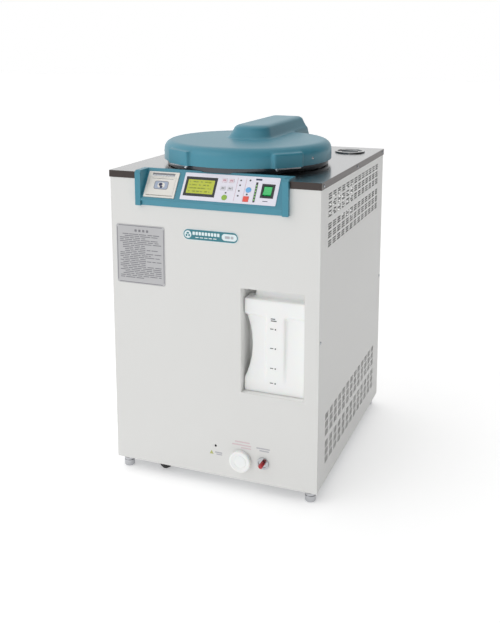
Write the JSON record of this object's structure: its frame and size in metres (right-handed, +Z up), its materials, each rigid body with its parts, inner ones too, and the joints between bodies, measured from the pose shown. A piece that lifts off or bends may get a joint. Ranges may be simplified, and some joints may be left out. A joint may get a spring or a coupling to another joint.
{
  "type": "vertical top-loading autoclave",
  "caption": "Floor-standing top-loading autoclave: steel cabinet, round locking lid over a deep chamber, sloped console, slide-out tank, drain knob and levelling feet.",
  "frame": {"origin": "centre of the footprint's bounding box, on the floor", "axes": "+X to the user's right, -Y to the front where the console is, +Z up"},
  "size_m": [0.5684, 0.7, 0.912],
  "materials": {
    "cabinet_paint": "semi-gloss powder coat, very fine orange peel",
    "frame_paint": "satin grey paint",
    "stainless": "brushed stainless steel",
    "machined_steel": "turned steel",
    "zinc_steel": "bright zinc plate",
    "chrome": "polished chrome plate",
    "teal_cover": "satin painted moulded plastic",
    "fascia_film": "printed polyester film",
    "white_plastic": "blow-moulded polyethylene",
    "printer_plastic": "textured moulded plastic",
    "black_plastic": "moulded plastic",
    "rocker_green": "translucent moulded plastic",
    "knob_red": "dipped vinyl",
    "key_pink": "embossed film key",
    "key_grey": "embossed film key",
    "key_green": "embossed film key",
    "key_blue": "embossed film key",
    "key_red": "embossed film key",
    "paper": "thermal paper",
    "brass": "forged brass",
    "rubber": "moulded rubber",
    "silicone": "moulded silicone",
    "mineral_wool": "glass cloth faced wool",
    "oxide_steel": "black oxide on steel, oiled",
    "heater_sheath": "heat-tinted steel",
    "circuit_board": "lacquered circuit board",
    "notice_metal": "printed aluminium"
  },
  "bodies": {
    "cabinet": {"base_frame": "frame_paint", "front_panel": "cabinet_paint", "left_panel": "cabinet_paint", "right_panel": "cabinet_paint", "rear_panel": "cabinet_paint", "top_plate": "stainless", "panel_screws": "zinc_steel", "vent_cover": "stainless", "vessel": "stainless", "vessel_flange": "machined_steel", "insulation": "mineral_wool", "heater": "heater_sheath", "rack": "stainless", "safety_valve": "brass", "exhaust_valve": "brass", "steam_pipe": "stainless", "drain_pipe": "stainless", "drain_valve": "chrome", "strainer": "white_plastic", "tank_bay": "cabinet_paint", "console_housing": "teal_cover", "console_fascia": "fascia_film", "lcd_module": "black_plastic", "switch_frame": "black_plastic", "printer_body": "printer_plastic", "controller_board": "circuit_board", "hinge_bracket": "machined_steel", "hinge_pin": "machined_steel", "notice_plate": "notice_metal", "cable_gland": "black_plastic", "rear_forks": "zinc_steel"},
    "lid": {"lid_arm": "frame_paint", "lid_plate": "machined_steel", "gasket": "silicone", "lid_cover": "teal_cover", "lock_motor": "black_plastic"},
    "lock_ring": {"lock_ring": "oxide_steel"},
    "tank": {"tank": "white_plastic"},
    "drain_knob": {"drain_knob": "knob_red"},
    "strainer_cap": {"strainer_cap": "white_plastic"},
    "key_pink_left": {"key_pink_left": "key_pink"},
    "key_pink_right": {"key_pink_right": "key_pink"},
    "key_grey_left": {"key_grey_left": "key_grey"},
    "key_grey_right": {"key_grey_right": "key_grey"},
    "key_green": {"key_green": "key_green"},
    "key_blue": {"key_blue": "key_blue"},
    "key_red": {"key_red": "key_red"},
    "power_rocker": {"power_rocker": "rocker_green"},
    "printer_door": {"printer_door": "printer_plastic"},
    "paper_roll": {"paper_roll": "paper"},
    "foot_front_left": {"foot_front_left": "chrome"},
    "foot_front_right": {"foot_front_right": "chrome"},
    "foot_rear_left": {"foot_rear_left": "chrome"},
    "foot_rear_right": {"foot_rear_right": "chrome"},
    "fork_front_left": {"fork_front_left": "zinc_steel"},
    "fork_front_right": {"fork_front_right": "zinc_steel"},
    "wheel_front_left": {"wheel_front_left": "rubber"},
    "wheel_front_right": {"wheel_front_right": "rubber"},
    "wheel_rear_left": {"wheel_rear_left": "rubber"},
    "wheel_rear_right": {"wheel_rear_right": "rubber"}
  },
  "joints": [
    {"name": "lid_hinge", "type": "hinge", "parent": "cabinet", "child": "lid", "pos_m": [0, 0.243, 0.85], "axis": [-1, 0, 0], "range_deg": [0, 95]},
    {"name": "lock_ring_turn", "type": "hinge", "parent": "lid", "child": "lock_ring", "pos_m": [0, -0.078, 0.83], "axis": [0, 0, 1], "range_deg": [0, 22.5]},
    {"name": "tank_slide", "type": "slide", "parent": "cabinet", "child": "tank", "axis": [0, -1, 0], "range_m": [0, 0.2]},
    {"name": "drain_knob_turn", "type": "hinge", "parent": "cabinet", "child": "drain_knob", "pos_m": [0.138, -0.33, 0.087], "axis": [0, -1, 0], "range_deg": [0, 90]},
    {"name": "strainer_cap_turn", "type": "hinge", "parent": "cabinet", "child": "strainer_cap", "pos_m": [0.078, -0.33, 0.083], "axis": [0, -1, 0], "range_deg": [0, 540]},
    {"name": "key_pink_left_press", "type": "slide", "parent": "cabinet", "child": "key_pink_left", "axis": [0, 0.8302, -0.5574], "range_m": [0, 0.0006], "stiffness_N_per_m": 600, "springref_m": -0.0004},
    {"name": "key_pink_right_press", "type": "slide", "parent": "cabinet", "child": "key_pink_right", "axis": [0, 0.8302, -0.5574], "range_m": [0, 0.0006], "stiffness_N_per_m": 600, "springref_m": -0.0004},
    {"name": "key_grey_left_press", "type": "slide", "parent": "cabinet", "child": "key_grey_left", "axis": [0, 0.8302, -0.5574], "range_m": [0, 0.0006], "stiffness_N_per_m": 600, "springref_m": -0.0004},
    {"name": "key_grey_right_press", "type": "slide", "parent": "cabinet", "child": "key_grey_right", "axis": [0, 0.8302, -0.5574], "range_m": [0, 0.0006], "stiffness_N_per_m": 600, "springref_m": -0.0004},
    {"name": "key_green_press", "type": "slide", "parent": "cabinet", "child": "key_green", "axis": [0, 0.8302, -0.5574], "range_m": [0, 0.0006], "stiffness_N_per_m": 600, "springref_m": -0.0004},
    {"name": "key_blue_press", "type": "slide", "parent": "cabinet", "child": "key_blue", "axis": [0, 0.8302, -0.5574], "range_m": [0, 0.0006], "stiffness_N_per_m": 600, "springref_m": -0.0004},
    {"name": "key_red_press", "type": "slide", "parent": "cabinet", "child": "key_red", "axis": [0, 0.8302, -0.5574], "range_m": [0, 0.0006], "stiffness_N_per_m": 600, "springref_m": -0.0004},
    {"name": "power_rocker_tilt", "type": "hinge", "parent": "cabinet", "child": "power_rocker", "pos_m": [0.1435, -0.31265, 0.78036], "axis": [1, 0, 0], "range_deg": [0, 14]},
    {"name": "printer_door_hinge", "type": "hinge", "parent": "cabinet", "child": "printer_door", "pos_m": [-0.1395, -0.33247, 0.75801], "axis": [1, 0, 0], "range_deg": [0, 75]},
    {"name": "paper_roll_spin", "type": "hinge", "parent": "cabinet", "child": "paper_roll", "pos_m": [-0.1395, -0.30332, 0.76735], "axis": [1, 0, 0], "continuous": true},
    {"name": "foot_front_left_turn", "type": "hinge", "parent": "cabinet", "child": "foot_front_left", "pos_m": [-0.257, -0.306, 0.03], "axis": [0, 0, 1], "continuous": true},
    {"name": "foot_front_right_turn", "type": "hinge", "parent": "cabinet", "child": "foot_front_right", "pos_m": [0.257, -0.306, 0.03], "axis": [0, 0, 1], "continuous": true},
    {"name": "foot_rear_left_turn", "type": "hinge", "parent": "cabinet", "child": "foot_rear_left", "pos_m": [-0.257, 0.306, 0.03], "axis": [0, 0, 1], "continuous": true},
    {"name": "foot_rear_right_turn", "type": "hinge", "parent": "cabinet", "child": "foot_rear_right", "pos_m": [0.257, 0.306, 0.03], "axis": [0, 0, 1], "continuous": true},
    {"name": "caster_front_left_swivel", "type": "hinge", "parent": "cabinet", "child": "fork_front_left", "pos_m": [-0.15, -0.27, 0.07], "axis": [0, 0, 1], "continuous": true},
    {"name": "caster_front_right_swivel", "type": "hinge", "parent": "cabinet", "child": "fork_front_right", "pos_m": [0.15, -0.27, 0.07], "axis": [0, 0, 1], "continuous": true},
    {"name": "wheel_front_left_spin", "type": "hinge", "parent": "fork_front_left", "child": "wheel_front_left", "pos_m": [-0.15, -0.294, 0.028], "axis": [1, 0, 0], "continuous": true},
    {"name": "wheel_front_right_spin", "type": "hinge", "parent": "fork_front_right", "child": "wheel_front_right", "pos_m": [0.15, -0.246, 0.028], "axis": [1, 0, 0], "continuous": true},
    {"name": "wheel_rear_left_spin", "type": "hinge", "parent": "cabinet", "child": "wheel_rear_left", "pos_m": [-0.15, 0.27, 0.028], "axis": [1, 0, 0], "continuous": true},
    {"name": "wheel_rear_right_spin", "type": "hinge", "parent": "cabinet", "child": "wheel_rear_right", "pos_m": [0.15, 0.27, 0.028], "axis": [1, 0, 0], "continuous": true}
  ]
}
